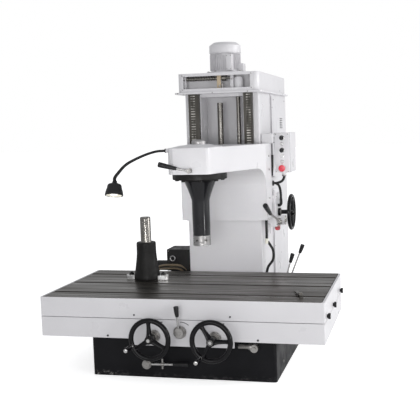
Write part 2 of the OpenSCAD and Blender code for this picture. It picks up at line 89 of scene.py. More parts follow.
def toward(u, v, angle):
    """The unit direction at an angle from u in the plane of u and v."""
    return u * math.cos(angle) + v * math.sin(angle)


def at(x, y, z):
    """Layout millimetres to metres in the shared frame."""
    return Vector((x * MM, (y - BED_MID_Y) * MM, z * MM))


# ---------------- camera
CAMERA_AT = (1.223167, -4.606719, 1.290625)
CAMERA_TURN = (12.978, 6.126, -1.645)  # yaw, downward pitch and roll in degrees
CAMERA_LENS, CAMERA_SHIFT_X = 67.253, -0.0833


def add_camera():
    yaw, pitch, roll = (math.radians(angle) for angle in CAMERA_TURN)
    flat = math.cos(pitch)
    forward = Vector((-math.sin(yaw) * flat, math.cos(yaw) * flat, -math.sin(pitch)))
    level = Vector((math.cos(yaw), math.sin(yaw), 0))
    over = level.cross(forward)
    right = math.cos(roll) * level + math.sin(roll) * over
    up = -math.sin(roll) * level + math.cos(roll) * over
    data = bpy.data.cameras.new("camera")
    data.sensor_width = 36
    data.lens = CAMERA_LENS
    data.shift_x = CAMERA_SHIFT_X
    camera = bpy.data.objects.new("camera", data)
    turned = Matrix((right, up, -forward)).transposed().to_4x4()
    camera.matrix_world = Matrix.Translation(CAMERA_AT) @ turned
    SCENE.collection.objects.link(camera)
    SCENE.camera = camera


add_camera()


# ---------------- materials
MAT = {}


class Nodes:
    """A principled material, kept in MAT, with short calls for its procedural inputs."""

    def __init__(self, name, color, rough, metal=0.0, **settings):
        material = MAT[name] = bpy.data.materials.new(name)
        material.use_nodes = True
        self.tree = material.node_tree
        self.shader = self.tree.nodes["Principled BSDF"]
        self.coords = self.tree.nodes.new("ShaderNodeTexCoord").outputs["Object"]
        self.set("Base Color", (*color, 1))
        self.set("Roughness", rough)
        self.set("Metallic", metal)
        for key, value in settings.items():
            self.set(key.replace("_", " "), value)

    def set(self, socket, value):
        self.shader.inputs[socket].default_value = value

    def wire(self, source, target):
        self.tree.links.new(source, target)
        return source

    def node(self, kind, **values):
        made = self.tree.nodes.new(kind)
        for key, value in values.items():
            setattr(made, key, value)
        return made

    def scaled(self, stretch):
        mapping = self.node("ShaderNodeMapping")
        self.wire(self.coords, mapping.inputs["Vector"])
        mapping.inputs["Scale"].default_value = stretch
        return mapping.outputs["Vector"]

    def noise(self, scale, detail=3.0, stretch=(1, 1, 1), rough=0.5):
        made = self.node("ShaderNodeTexNoise")
        self.wire(self.scaled(stretch), made.inputs["Vector"])
        made.inputs["Scale"].default_value = scale
        made.inputs["Detail"].default_value = detail
        made.inputs["Roughness"].default_value = rough
        return made.outputs["Fac"]

    def cells(self, scale, stretch):
        made = self.node("ShaderNodeTexVoronoi")
        self.wire(self.scaled(stretch), made.inputs["Vector"])
        made.inputs["Scale"].default_value = scale
        return made.outputs["Distance"]

    def math(self, operation, a, b=0.5):
        made = self.node("ShaderNodeMath", operation=operation)
        for socket, value in zip(made.inputs, (a, b)):
            if isinstance(value, (int, float)):
                socket.default_value = value
            else:
                self.wire(value, socket)
        return made.outputs[0]

    def times(self, a, b):
        return self.math("MULTIPLY", a, b)

    def ramp(self, source, low, high, out_low=0.0, out_high=1.0):
        made = self.node("ShaderNodeMapRange")
        made.interpolation_type = "SMOOTHSTEP"
        self.wire(source, made.inputs["Value"])
        for key, value in zip(
            ("From Min", "From Max", "To Min", "To Max"), (low, high, out_low, out_high)
        ):
            made.inputs[key].default_value = value
        return made.outputs["Result"]

    def axis(self, name):
        made = self.node("ShaderNodeSeparateXYZ")
        self.wire(self.coords, made.inputs[0])
        return made.outputs[name]

    def mix(self, factor, a, b):
        made = self.node("ShaderNodeMix", data_type="RGBA")
        self.wire(factor, made.inputs["Factor"])
        for socket, value in ((made.inputs[6], a), (made.inputs[7], b)):
            if isinstance(value, tuple):
                socket.default_value = (*value, 1)
            else:
                self.wire(value, socket)
        return made.outputs[2]

    def color(self, source):
        self.wire(source, self.shader.inputs["Base Color"])

    def rough(self, source, *ends):
        self.wire(self.ramp(source, *ends), self.shader.inputs["Roughness"])

    def bump(self, *layers):
        """Each layer is (height source, depth in metres)."""
        normal = None
        for source, depth in layers:
            made = self.node("ShaderNodeBump")
            made.inputs["Distance"].default_value = depth
            self.wire(source, made.inputs["Height"])
            if normal is not None:
                self.wire(normal, made.inputs["Normal"])
            normal = made.outputs["Normal"]
        self.wire(normal, self.shader.inputs["Normal"])

    def worn_edges(self, base, bare, amount):
        """Mixes in a bare colour where the shape turns a sharp outer corner."""
        point = self.node("ShaderNodeNewGeometry").outputs["Pointiness"]
        edge = self.ramp(point, 0.56, 0.66)
        patches = self.ramp(self.noise(14, 5), 0.52, 0.70)
        return self.mix(self.times(self.times(edge, patches), amount), base, bare)


PEEL = 0.00012  # depth of the orange peel in metres


def dim(tone, part, lift=0.0):
    return tuple(c * part + lift for c in tone)


def enamel(name, tone, grime, rough=0.34):
    """Sprayed machine enamel: orange peel, faint cloudiness, handled spots."""
    m = Nodes(name, tone, rough, Coat_Weight=0.12, Coat_Roughness=0.3)
    cloud = m.ramp(m.noise(2.6, 4), 0.35, 0.7)
    clean = m.mix(cloud, tone, dim(tone, 0.955))
    spots = m.ramp(m.noise(19, 6, rough=0.7), 0.66, 0.80)
    dirty = m.mix(m.times(spots, 0.35), clean, grime)
    m.color(m.worn_edges(dirty, dim(tone, 0.72), 0.5))
    m.rough(m.noise(7, 4), 0.3, 0.75, rough - 0.07, rough + 0.10)
    m.bump((m.noise(420, 2), PEEL), (m.noise(24, 3), PEEL * 2.2))


def steel(name, tone, rough, stain, brown, line=(1, 1, 1), scale=240, depth=0.00006):
    """Machined steel: fine tool lines along one direction and uneven tarnish."""
    m = Nodes(name, tone, rough, 1.0)
    lines = m.noise(scale, 3, line)
    cloud = m.ramp(m.noise(9, 5, rough=0.6), 0.35, 0.72)
    body = m.mix(m.ramp(lines, 0.3, 0.7), dim(tone, 0.84), tone)
    m.color(m.mix(m.times(cloud, stain), body, brown))
    m.rough(lines, 0.3, 0.7, rough * 0.72, min(1.0, rough * 1.3))
    m.bump((lines, depth), (m.noise(60, 2), depth * 0.6))


def molded(name, tone, rough, grain=900, coat=0.0, shine=0.5):
    """Moulded plastic or rubber with a fine grain and faint dust."""
    m = Nodes(name, tone, rough, Coat_Weight=coat, Coat_Roughness=0.08)
    m.set("Specular IOR Level", shine)
    dust = m.ramp(m.noise(30, 6, rough=0.7), 0.55, 0.8)
    m.color(m.mix(m.times(dust, 0.2), tone, dim(tone, 0.8, 0.03)))
    m.rough(m.noise(40, 4), 0.3, 0.7, rough * 0.8, min(1.0, rough * 1.25))
    m.bump((m.noise(grain, 2), 0.00005))


def bed_enamel():
    """Black enamel over rough casting, chipped and dusty along the floor."""
    tone = (0.0062, 0.0062, 0.0075)
    m = Nodes("bed_black", tone, 0.36, Specular_IOR_Level=0.12)
    low = m.ramp(m.axis("Z"), 0.005, 0.036, 1.0, 0.0)
    left = m.ramp(m.axis("X"), -0.49, -0.26, 1.0, 0.12)
    chips = m.ramp(m.noise(46, 6, (1, 1, 1.6), 0.72), 0.50, 0.62)
    dust = m.times(m.times(low, left), m.times(chips, 0.8))
    cloud = m.mix(m.ramp(m.noise(5, 5), 0.4, 0.75), tone, (0.010, 0.010, 0.012))
    m.color(m.mix(dust, cloud, (0.33, 0.32, 0.31)))
    m.rough(m.noise(12, 5), 0.3, 0.75, 0.30, 0.5)
    m.bump((m.noise(150, 4), 0.00022), (m.noise(30, 3), 0.0004))


def table_steel():
    """Planed and oiled table top: tool lines along its length, brown oil film."""
    m = Nodes("ground_steel", (0.30, 0.28, 0.26), 0.3, 1.0)
    lines = m.noise(420, 2, (0.012, 1, 1))
    bands = m.noise(34, 4, (0.05, 1, 1))
    film = m.ramp(m.noise(3.4, 5, (0.7, 1.5, 1)), 0.34, 0.70)
    bare = m.mix(m.ramp(lines, 0.25, 0.75), (0.105, 0.097, 0.09), (0.225, 0.212, 0.197))
    banded = m.mix(m.ramp(bands, 0.35, 0.65, 0.0, 0.8), bare, (0.10, 0.091, 0.082))
    oiled = m.mix(m.times(film, 0.42), banded, (0.078, 0.069, 0.060))
    rust = m.ramp(m.noise(11, 7, rough=0.72), 0.63, 0.78)
    m.color(m.mix(m.times(rust, 0.32), oiled, (0.13, 0.09, 0.058)))
    m.rough(bands, 0.3, 0.7, 0.26, 0.44)
    m.bump((lines, 0.00007), (m.noise(90, 3, (0.2, 1, 1)), 0.00006))


def way_iron():
    """Cast iron running faces, dark with oil, scraped by hand."""
    m = Nodes("way_iron", (0.18, 0.17, 0.155), 0.34, 1.0)
    flakes = m.cells(120, (1, 1, 0.7))
    cloud = m.ramp(m.noise(10, 5), 0.35, 0.7)
    base = m.mix(cloud, (0.205, 0.195, 0.178), (0.135, 0.125, 0.11))
    m.color(m.mix(m.ramp(flakes, 0.1, 0.7), base, (0.24, 0.23, 0.21)))
    m.rough(flakes, 0.1, 0.8, 0.26, 0.46)
    m.bump((flakes, 0.00008), (m.noise(300, 2, (1, 1, 0.03)), 0.00003))


# the two frosted strips: their middle and half their distance in metres, and how fast
# their marks repeat in radians a metre
GUIDES_MID_X, GUIDES_REACH, FROST_WAVE = 0.0465, 0.169, 418.9


def guide_iron():
    """Headstock guideways: dark oiled iron with a frosted strip down the middle."""
    m = Nodes("guide_iron", (0.09, 0.085, 0.078), 0.36, 1.0)
    x, z = m.axis("X"), m.axis("Z")
    across = m.math("ABSOLUTE", m.math("SUBTRACT", x, GUIDES_MID_X))
    off = m.math("ABSOLUTE", m.math("SUBTRACT", across, GUIDES_REACH))
    strip = m.ramp(off, 0.010, 0.015, 1.0, 0.0)
    beads = m.ramp(m.math("SINE", m.times(z, FROST_WAVE)), -0.1, 0.8)
    worn = m.ramp(m.noise(26, 5, (1, 1, 0.5)), 0.32, 0.62)
    mark = m.times(m.times(strip, beads), worn)
    cloud = m.ramp(m.noise(10, 5, (1, 1, 0.35)), 0.35, 0.7)
    base = m.mix(cloud, (0.075, 0.071, 0.064), (0.040, 0.037, 0.033))
    dark = m.mix(m.times(strip, 0.55), base, (0.045, 0.043, 0.038))
    m.color(m.mix(m.times(mark, 0.85), dark, (0.52, 0.50, 0.47)))
    m.rough(m.noise(90, 3, (1, 1, 0.1)), 0.3, 0.7, 0.3, 0.46)
    m.bump((beads, 0.00012), (m.noise(300, 2, (1, 1, 0.03)), 0.00004))


enamel("paint", (0.665, 0.655, 0.672), (0.52, 0.50, 0.48))
bed_enamel()
table_steel()
way_iron()
guide_iron()
TURNED, POLISHED = (0.04, 0.04, 1), (0.03, 0.03, 1)  # tool lines round an upright bar
steel(
    "oiled_steel", (0.23, 0.22, 0.205), 0.30, 0.4, (0.12, 0.108, 0.095), TURNED, 380, 8e-6
)
steel("bright_steel", (0.56, 0.555, 0.55), 0.22, 0.25, (0.36, 0.33, 0.29))
steel("grey_steel", (0.37, 0.36, 0.35), 0.34, 0.4, (0.23, 0.21, 0.19))
steel("turned_steel", (0.60, 0.585, 0.56), 0.24, 0.3, (0.36, 0.33, 0.27), POLISHED, 380)
steel("bronze", (0.62, 0.42, 0.18), 0.3, 0.3, (0.3, 0.2, 0.1))
steel(
    "satin_steel", (0.34, 0.335, 0.33), 0.30, 0.5, (0.17, 0.165, 0.16), POLISHED, 300, 1e-5
)
steel("disc_steel", (0.43, 0.42, 0.42), 0.46, 0.3, (0.3, 0.3, 0.3), depth=1e-5)
steel("pale_steel", (0.80, 0.80, 0.80), 0.42, 0.15, (0.6, 0.58, 0.55), depth=1e-5)
molded("sleeve_black", (0.0065, 0.0065, 0.008), 0.13, 60, 0.1, 0.3)
molded("drive_black", (0.016, 0.015, 0.0145), 0.5, 260, 0, 0.3)
molded("cast_black", (0.0065, 0.006, 0.0055), 0.55, 260, 0, 0.25)
molded("wheel_black", (0.0025, 0.0022, 0.0032), 0.15, 500, 0.06, 0.2)
molded("black_plastic", (0.008, 0.008, 0.009), 0.42, 900, 0, 0.35)
molded("red_plastic", (0.62, 0.018, 0.045), 0.28, 600, 0.4)
molded("hose_black", (0.010, 0.010, 0.010), 0.5, 700, 0, 0.35)
enamel("panel_grey", (0.30, 0.32, 0.34), (0.2, 0.2, 0.2), 0.45)
molded("cream", (0.78, 0.76, 0.68), 0.4)
molded("tan", (0.19, 0.145, 0.09), 0.45, 300)
molded("fibre", (0.52, 0.42, 0.29), 0.55, 300)
# ink: dark print for graduations and the lid seal, and painted shade inside screw recesses
molded("ink", (0.02, 0.02, 0.022), 0.6)
molded("clear_cap", (0.58, 0.57, 0.58), 0.3, 700, 0.3)


def sight_glass():
    tone = (0.86, 0.42, 0.40)
    m = Nodes("sight_glass", tone, 0.04, Transmission_Weight=0.9, IOR=1.46)
    m.color(m.mix(m.ramp(m.noise(25, 3), 0.4, 0.7, 0, 0.3), tone, (0.9, 0.8, 0.8)))
    m.bump((m.noise(120, 2), 0.00003))


def bulb():
    tone = (1.0, 0.98, 0.94)
    m = Nodes("bulb", tone, 0.3, Emission_Color=(*tone, 1), Emission_Strength=1.6)
    m.bump((m.noise(200, 2), 0.0001))


sight_glass()
bulb()

for entry in frame["record"]["subparts"]:
    node = NODES[entry["node"]]
    node.data.materials.clear()
    node.data.materials.append(MAT[entry["material_slot"]])


# ---------------- shape helpers
def cube(stretch, width, steps, **extra):
    """A unit cube put through a matrix, its edges rounded by a width in millimetres."""
    bm = bmesh.new()
    bmesh.ops.create_cube(bm, size=1)
    bmesh.ops.transform(bm, matrix=stretch, verts=bm.verts)
    round_edges(bm, width, steps, **extra)
    return bm


def round_edges(bm, width, steps=2, **extra):
    if width:
        edges, offset = bm.edges[:], width * MM
        bmesh.ops.bevel(
            bm, geom=edges, offset=offset, segments=steps, affect="EDGES", **extra
        )


SHARP = math.radians(32)  # edges that turn less than this are shaded smooth


class Shape:
    """Collects vertices and faces, with a material for each face."""

    def __init__(self):
        self.bm = bmesh.new()
        self.materials = []

    def slot(self, material):
        if material not in self.materials:
            self.materials.append(material)
        return self.materials.index(material)

    def take(self, other, material, matrix=None):
        """Adds a small bmesh, optionally moved, with one material."""
        index = self.slot(material)
        if matrix is not None:
            bmesh.ops.transform(other, matrix=matrix, verts=other.verts)
        bmesh.ops.recalc_face_normals(other, faces=other.faces)
        for face in other.faces:
            face.material_index = index
        mesh = bpy.data.meshes.new("part")
        other.to_mesh(mesh)
        other.free()
        self.bm.from_mesh(mesh)
        bpy.data.meshes.remove(mesh)

    def box(self, low, high, material, bevel, steps=2):
        """A block between two corners of the layout, its edges rounded."""
        a, b = at(*low), at(*high)
        stretch = Matrix.Translation((a + b) / 2) @ Matrix.Diagonal((*(b - a), 1))
        self.take(cube(stretch, bevel, steps, profile=0.5), material)

    def block(self, size, material, place, bevel):
        """A block of that size, centred on a matrix."""
        stretch = Matrix.Diagonal((*(s * MM for s in size), 1))
        self.take(cube(stretch, bevel, 2), material, place)

    def lathe(self, profile, place, material, axis=Z, count=64):
        """Turns (radius, height) points about an axis."""
        bm = bmesh.new()
        rings = []
        for radius, height in profile:
            if radius < 1e-6:
                rings.append([bm.verts.new((0, 0, height * MM))])
                continue
            ring = []
            for i in range(count):
                x = radius * MM * math.cos(math.tau * i / count)
                y = radius * MM * math.sin(math.tau * i / count)
                ring.append(bm.verts.new((x, y, height * MM)))
            rings.append(ring)
        for low, high in zip(rings, rings[1:]):
            for i in range(count):
                j = (i + 1) % count
                near, far = len(low), len(high)
                corners = low[i % near], low[j % near], high[j % far], high[i % far]
                unique = list(dict.fromkeys(corners))
                if len(unique) > 2:
                    bm.faces.new(unique)
        turned = Z.rotation_difference(axis).to_matrix().to_4x4()
        self.take(bm, material, Matrix.Translation(place) @ turned)

    def tube(self, points, radius, material, sides, closed=False, squash=1.0):
        """Sweeps a circle along points. radius is a number or a function of 0 to 1."""
        size = radius if callable(radius) else (lambda t: radius)
        count = len(points)
        bm = bmesh.new()
        tangents = []
        for i in range(count):
            before = points[(i - 1) % count] if closed or i else points[i]
            after = points[(i + 1) % count] if closed or i < count - 1 else points[i]
            tangents.append((after - before).normalized())
        side = tangents[0].orthogonal().normalized()
        rings = []
        for i, (point, tangent) in enumerate(zip(points, tangents)):
            side = (side - tangent * side.dot(tangent)).normalized()
            across = tangent.cross(side)
            r = size(i / (count - 1)) * MM
            ring = []
            for k in range(sides):
                angle = math.tau * k / sides
                wide = side * r * math.cos(angle)
                high = across * r * squash * math.sin(angle)
                ring.append(bm.verts.new(point + wide + high))
            rings.append(ring)
        pairs = list(zip(rings, rings[1:])) + ([(rings[-1], rings[0])] if closed else [])
        for low, high in pairs:
            for k in range(sides):
                j = (k + 1) % sides
                bm.faces.new((low[k], low[j], high[j], high[k]))
        if not closed:
            bm.faces.new(rings[0][::-1])
            bm.faces.new(rings[-1])
        self.take(bm, material)

    def bolt(self, place, axis, material, radius, height):
        """A hexagon head standing on a face."""
        side = [(radius * 0.96, 0), (radius, 0.4), (radius, height - 0.8)]
        crown = [(radius * 0.82, height), (0, height)]
        self.lathe([(0, 0), *side, *crown], place, material, axis, 6)

    def socket(self, place, axis, material, radius=4.0, height=3.0):
        """A cap screw: round head with a hexagon recess."""
        inner = radius * 0.5
        head = [(radius, 0), (radius, height * 0.8), (radius * 0.88, height)]
        self.lathe([*head, (inner, height)], place, material, axis, 20)
        # the hexagon recess is coloured with dark ink: painted shade inside the socket
        recess = [(inner * 1.02, height), (inner * 0.9, height * 0.35), (0, height * 0.3)]
        self.lathe(recess, place, MAT["ink"], axis, 6)

    def prism(self, outline, low, high, material, bevel, place):
        """Extrudes (x, y) points from z = low to high, then puts them on a matrix."""
        bm = bmesh.new()
        bottom = [bm.verts.new((x * MM, y * MM, low * MM)) for x, y in outline]
        top = [bm.verts.new((x * MM, y * MM, high * MM)) for x, y in outline]
        bm.faces.new(bottom[::-1])
        bm.faces.new(top)
        for i in range(len(outline)):
            j = (i + 1) % len(outline)
            bm.faces.new((bottom[i], bottom[j], top[j], top[i]))
        round_edges(bm, bevel)
        self.take(bm, material, place)

    def rod(self, a, b, radius, material):
        """A round bar between two points, its edges broken."""
        long = (b - a).length / MM
        lip = min(radius, long) * 0.14
        profile = [(0, 0), (radius - lip, 0), (radius, lip)]
        profile += [(radius, long - lip), (radius - lip, long), (0, long)]
        self.lathe(profile, a, material, (b - a).normalized(), 28)

    def grip(self, a, b, small, large, material):
        """A hand grip that swells from its neck to a blunt, rounded end."""
        long = (b - a).length / MM
        profile = [(0, 0), (small * 0.8, 0), (small, 1.6)]
        for i in range(1, 9):
            swell = math.sin(i / 8 * math.pi / 2)
            profile.append((small + (large - small) * swell, 1.6 + (long - 6) * i / 8))
        for i in range(1, 7):
            turn = i / 6 * math.pi / 2
            radius = large - 4 + 4 * math.cos(turn)
            profile.append((radius, long - 4.4 + 4.4 * math.sin(turn)))
        profile.append((0, long + 0.6))
        self.lathe(profile, a, material, (b - a).normalized(), 32)

    def piece(self, name, body, finish, *replaces):
        """Makes the object, rides it on its body and hides the CAD nodes it stands for."""
        self.bm.normal_update()
        for face in self.bm.faces:
            face.smooth = True
        for edge in self.bm.edges:
            edge.smooth = len(edge.link_faces) == 2 and edge.calc_face_angle(0) < SHARP
        mesh = bpy.data.meshes.new(name)
        self.bm.to_mesh(mesh)
        self.bm.free()
        for material in self.materials:
            mesh.materials.append(material)
        obj = bpy.data.objects.new(name, mesh)
        SCENE.collection.objects.link(obj)
        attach(obj, body)
        if replaces:
            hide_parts(*replaces)
        return obj


def smooth_path(points, count):
    """A Catmull-Rom curve through layout points, resampled at even spacing."""
    points = [at(*point) for point in points]
    ends = [2 * points[0] - points[1], *points, 2 * points[-1] - points[-2]]
    fine = []
    for i in range(len(points) - 1):
        a, b, c, d = ends[i : i + 4]
        for k in range(24):
            t = k / 24
            bend, twist = 2 * a - 5 * b + 4 * c - d, 3 * b - a - 3 * c + d
            fine.append(0.5 * (2 * b + (c - a) * t + bend * t * t + twist * t**3))
    fine.append(points[-1])
    reach = [0.0]
    for a, b in zip(fine, fine[1:]):
        reach.append(reach[-1] + (b - a).length)
    made, j = [], 0
    for i in range(count):
        want = reach[-1] * i / (count - 1)
        while j < len(fine) - 2 and reach[j + 1] < want:
            j += 1
        span = max(reach[j + 1] - reach[j], 1e-9)
        made.append(fine[j].lerp(fine[j + 1], min(1.0, (want - reach[j]) / span)))
    return made


# ---------------- carried-over nodes
def soften(names, width):
    """Rounds the edges of CAD nodes with modifiers; their meshes stay as they are."""
    for name in names:
        node = NODES[name]
        weld = node.modifiers.new("weld", "WELD")
        weld.merge_threshold = 2e-6
        bevel = node.modifiers.new("bevel", "BEVEL")
        bevel.width = width * MM
        bevel.segments = 2
        bevel.limit_method = "ANGLE"
        bevel.angle_limit = math.radians(40)
        bevel.harden_normals = True
        bevel.use_clamp_overlap = True


def dress(material, *names):
    """Gives CAD nodes a finer version of their record finish."""
    for name in names:
        NODES[name].data.materials.clear()
        NODES[name].data.materials.append(MAT[material])


dress("guide_iron", *(name for name in NODES if name.startswith("guideway")))
dress("oiled_steel", "arbor_bar", "loose_key", "elevating_screw", "spline_shaft")
dress("satin_steel", "spindle")
dress("disc_steel", "spindle_top_cap")
dress("cast_black", "arbor_body")
dress("drive_black", "rear_feed_motor")
dress("clear_cap", "start_button")


STEEL, SHINE, GRIP = MAT["grey_steel"], MAT["bright_steel"], MAT["black_plastic"]


# ---------------- handwheels
def handwheel(name, old, centre, u, v, radius, rim, turn, hub, shaft=()):
    """A three-spoke wheel in the plane of u and v, its hub stepped on both sides."""
    shape = Shape()
    black = MAT["wheel_black"]
    out = u.cross(v)
    bore = 12.2

    def around(angle, r):
        return centre + toward(u, v, angle) * r * MM

    def girth(t):
        """Spokes are thick at the hub, slim in the middle and flare into the rim."""
        return 11.0 + 7.5 * (1 - t) ** 3 + 48.5 * max(0.0, t - 0.78) ** 1.5

    ring = [around(math.tau * i / 144, radius) for i in range(144)]
    shape.tube(ring, rim, black, 28, closed=True)
    inner, outer = hub * 0.6, radius - rim * 0.45
    for i in range(3):
        angle = math.radians(turn + 120 * i)
        spoke = [around(angle, inner + (outer - inner) * k / 16) for k in range(17)]
        shape.tube(spoke, girth, black, 20, squash=0.55)
    half = [(bore, -19), (hub - 3, -19), (hub - 1.5, -17.5), (hub, -8)]
    other = [(r, -height) for r, height in reversed(half)]
    shape.lathe([*half, (hub + 1.5, 0), *other], centre, black, out, 48)
    cap = [(bore, 18.5), (15, 18.5), (15, 22), (13, 24), (9, 24.4), (8, 23), (0, 23.6)]
    shape.lathe(cap, centre, MAT["drive_black"], out, 32)
    for a, b, r, finish in shaft:
        shape.rod(at(a, LIFT_Y, LIFT_Z), at(b, LIFT_Y, LIFT_Z), r, finish)
    shape.piece(name, name, "wheel_black", old)


def turning_handle(name, old, centre, angle):
    """The revolving handle on a wheel's rim: steel pin, black grip, steel end."""
    shape = Shape()
    foot = centre + toward(X, Z, math.radians(angle)) * WHEEL_RADIUS * MM
    shape.lathe([(0, -9), (5, -9), (5, 20), (0, 20)], foot, SHINE, FRONT, 24)
    collar = [(5, 12.4), (9, 12.4), (9.6, 13), (9.6, 19), (8.6, 20), (5, 20)]
    shape.lathe(collar, foot, SHINE, FRONT, 32)
    swell = [(0, 20), (8.6, 20), (9.6, 21)]
    for i in range(1, 13):
        t = i / 12
        swell.append((9.4 + 4.6 * math.sin(t * math.pi * 0.72), 21 + 71 * t))
    swell += [(11.2, 93.2), (10.4, 94), (0, 94)]
    shape.lathe(swell, foot, MAT["wheel_black"], FRONT, 40)
    button = [(0, 93.6), (10, 93.6), (10.2, 96), (8.6, 98.8), (5, 100), (0, 100.2)]
    shape.lathe(button, foot, SHINE, FRONT, 32)
    shape.piece(name, name, "wheel_black", old)


TABLE_HUB, CROSS_HUB = (at(x, -75, WHEEL_Z) for x in (TABLE_WHEEL_X, CROSS_WHEEL_X))
LIFT_HUB = at(428, LIFT_Y, LIFT_Z)
FRONT_WHEEL = (X, Z, WHEEL_RADIUS, WHEEL_RIM)
LIFT_SHAFT = (
    (304, 450, 13, MAT["wheel_black"]),
    (346.5, 362, 24, MAT["wheel_black"]),
    (362, 366, 18, STEEL),
)
handwheel("table_wheel", "table_handwheel", TABLE_HUB, *FRONT_WHEEL, 92, 22)
handwheel("cross_wheel", "cross_handwheel", CROSS_HUB, *FRONT_WHEEL, 122, 22)
handwheel("lift_wheel", "side_handwheel", LIFT_HUB, -Z, Y, 100, 11, 25, 20, LIFT_SHAFT)
turning_handle("table_grip", "table_wheel_handle", TABLE_HUB, 200)
turning_handle("cross_grip", "cross_wheel_handle", CROSS_HUB, 236)


def feed_dials():
    """Two stepped dials, each with a bright band, graduations and a clamp screw."""
    shape = Shape()
    for x, bore in ((TABLE_WHEEL_X, 12.3), (CROSS_WHEEL_X, 14.3)):
        here = at(x, 0, WHEEL_Z)
        profile = [(bore, 0), (31, 0), (31, 24.5), (29.6, 26), (25, 26), (25, 44.8)]
        profile += [(23.8, 46), (bore, 46)]
        shape.lathe(profile, here, STEEL, FRONT, 72)
        shape.lathe([(31.1, 3), (33.4, 3), (33.4, 9), (31.1, 9)], here, SHINE, FRONT, 72)
        for i in range(60):
            long = 9 if i % 5 == 0 else 5
            away = toward(X, Z, math.tau * i / 60)
            place = here + away * 30.95 * MM + FRONT * (25 - long / 2) * MM
            turn = Matrix((Y.cross(away), Y, away)).transposed().to_4x4()
            shape.block((0.7, long, 0.6), MAT["ink"], Matrix.Translation(place) @ turn, 0)
        side = (Z * 0.2 + X).normalized()
        shape.socket(here + side * 24.6 * MM + FRONT * 36 * MM, X, STEEL)
    shape.piece("dial_rings", "saddle", "grey_steel", "feed_dials")


feed_dials()


# ---------------- levers
def clamp_lever():
    """Bed clamp: a round boss on its pin, a bar with a cross pin and a black grip."""
    shape = Shape()
    profile = [(0, 0), (25, 0), (25, 43), (23, 45.7), (18, 45.7), (18, 50.4), (16.6, 51.7)]
    profile += [(7, 51.7), (6, 50.6), (0, 50.6)]
    shape.lathe(profile, at(-180, 59.7, 80), STEEL, FRONT, 56)
    shape.rod(at(-180, 92, 80), at(-180, 58, 80), 9, STEEL)
    shape.rod(at(-180, 26, 80), at(-34, 26, 84), 7, SHINE)
    shape.rod(at(-96, 26, 58), at(-96, 26, 112), 5.5, STEEL)
    shape.rod(at(-106, 26, 82), at(-86, 26, 82.6), 10.4, STEEL)
    shape.grip(at(-40, 26, 83.9), at(44, 26, 86), 8.6, 10.6, GRIP)
    shape.piece("clamp_handle", "bed_clamp", "grey_steel", "clamp_lever")


def front_lever():
    """Feed lever between the two wheels, on a screwed disc."""
    shape = Shape()
    hub = at(14, 0, 262)
    profile = [(0, -13), (9, -13), (9, 0.3), (33, 0.3), (33, 10), (31, 12), (26, 12)]
    profile += [(26, 28), (24, 30), (10, 30), (9, 29), (0, 29)]
    shape.lathe(profile, hub, STEEL, FRONT, 64)
    shape.rod(at(14, -22, 262), at(10, -30, 355), 5, SHINE)
    shape.grip(at(10.3, -29.3, 347), at(7, -34, 401.5), 8.5, 13, GRIP)
    for i in range(4):
        away = toward(X, Z, math.tau * (i + 0.5) / 4)
        shape.socket(hub + (away * 29.3 + FRONT * 11.2) * MM, FRONT, STEEL, 2.6, 1.6)
    shape.piece("front_handle", "feed_lever", "grey_steel", "front_lever")


def nose_lever():
    """Speed lever across the nose of the arm."""
    shape = Shape()
    profile = [(0, -35), (8, -35), (8, -8), (13, -8), (13, 16.6), (11.6, 18), (4, 18)]
    shape.lathe([*profile, (0, 17)], at(42, 170, 1068), STEEL, FRONT, 40)
    shape.rod(at(42, 164, 1068), at(-34, 160, 1082), 6, SHINE)
    shape.grip(at(-24, 160.4, 1079.8), at(-121, 156, 1104.3), 8.5, 14, GRIP)
    shape.piece("speed_handle", "speed_lever", "grey_steel", "nose_lever")


def side_lever():
    """Gear lever, bent forward from the feed gearbox."""
    shape = Shape()
    shape.rod(at(304, 990, 700), at(347, 990, 700), 10, STEEL)
    profile = [(0, 0), (22, 0), (22, 15), (20, 17), (12, 17), (11, 25), (0, 26)]
    shape.lathe(profile, at(347, 990, 700), MAT["turned_steel"], X, 48)
    path = smooth_path(
        [(358, 990, 700), (357, 905, 728), (353.5, 790, 760), (352, 716, 781)], 40
    )
    shape.tube(path, 6, STEEL, 20)
    shape.grip(at(352.1, 726, 778.5), at(346, 608, 841), 10, 15, GRIP)
    shape.piece("gear_handle", "gear_lever", "grey_steel", "side_lever")


def rear_lever(letter, old, y, *places, end):
    """A steel bar on a cross pin, with a black grip, in the plane of y."""
    shape = Shape()
    foot, neck, low, high = (at(x, y, z) for x, z in places)
    for half, radius in ((17, 9), (7.5, 17)):
        shape.rod(foot - Y * half * MM, foot + Y * half * MM, radius, STEEL)
    shape.rod(foot, neck, 5.5, SHINE)
    shape.grip(low, high, 10, end, GRIP)
    shape.piece("rear_handle_" + letter, "rear_lever_" + letter, "grey_steel", old)


clamp_lever()
front_lever()
nose_lever()
side_lever()
rear_lever(
    "a", "rear_lever_short", 1300, (323, 258), (367, 404), (363, 391), (381.5, 452), end=14
)
rear_lever(
    "b", "rear_lever_long", 1370, (340, 254), (420, 455), (416, 444), (438.5, 501), end=13.5
)


